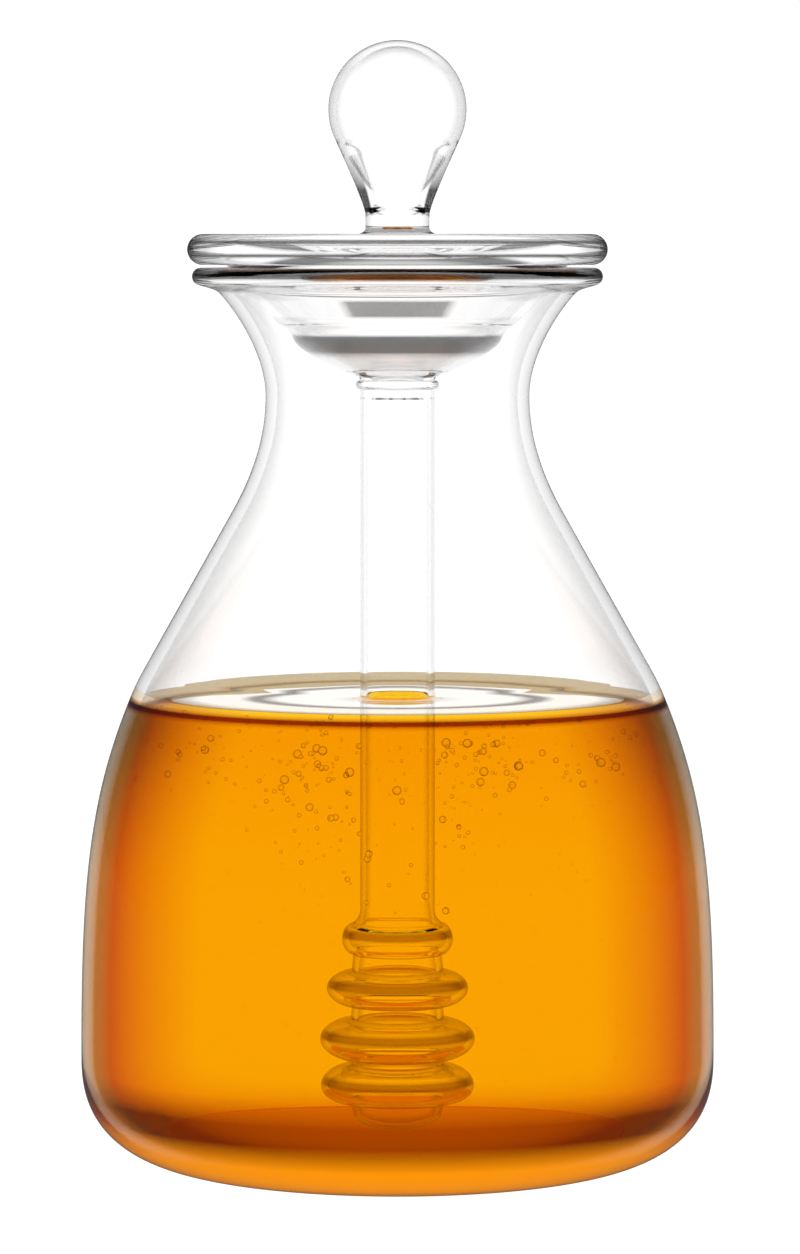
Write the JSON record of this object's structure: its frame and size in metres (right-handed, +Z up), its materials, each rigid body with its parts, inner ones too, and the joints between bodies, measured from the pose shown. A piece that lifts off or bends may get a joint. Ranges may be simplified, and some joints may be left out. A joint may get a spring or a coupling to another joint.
{
  "type": "glass honey pot",
  "caption": "Narrow-waisted clear glass jar of amber honey, with a flanged lid that has a ball knob above and a ringed honey dipper below.",
  "frame": {"origin": "centre of the jar's base, on the surface it stands on", "axes": "+Z up along the axis of the jar, -Y towards the front"},
  "size_m": [0.0804, 0.0804, 0.1427],
  "materials": {
    "jar_glass": "smooth clear blown glass",
    "lid_glass": "smooth clear blown glass",
    "honey": "clear amber liquid honey with fine air bubbles"
  },
  "bodies": {
    "root": {"jar": "jar_glass", "lid_with_dipper": "lid_glass", "honey": "honey"}
  },
  "joints": []
}
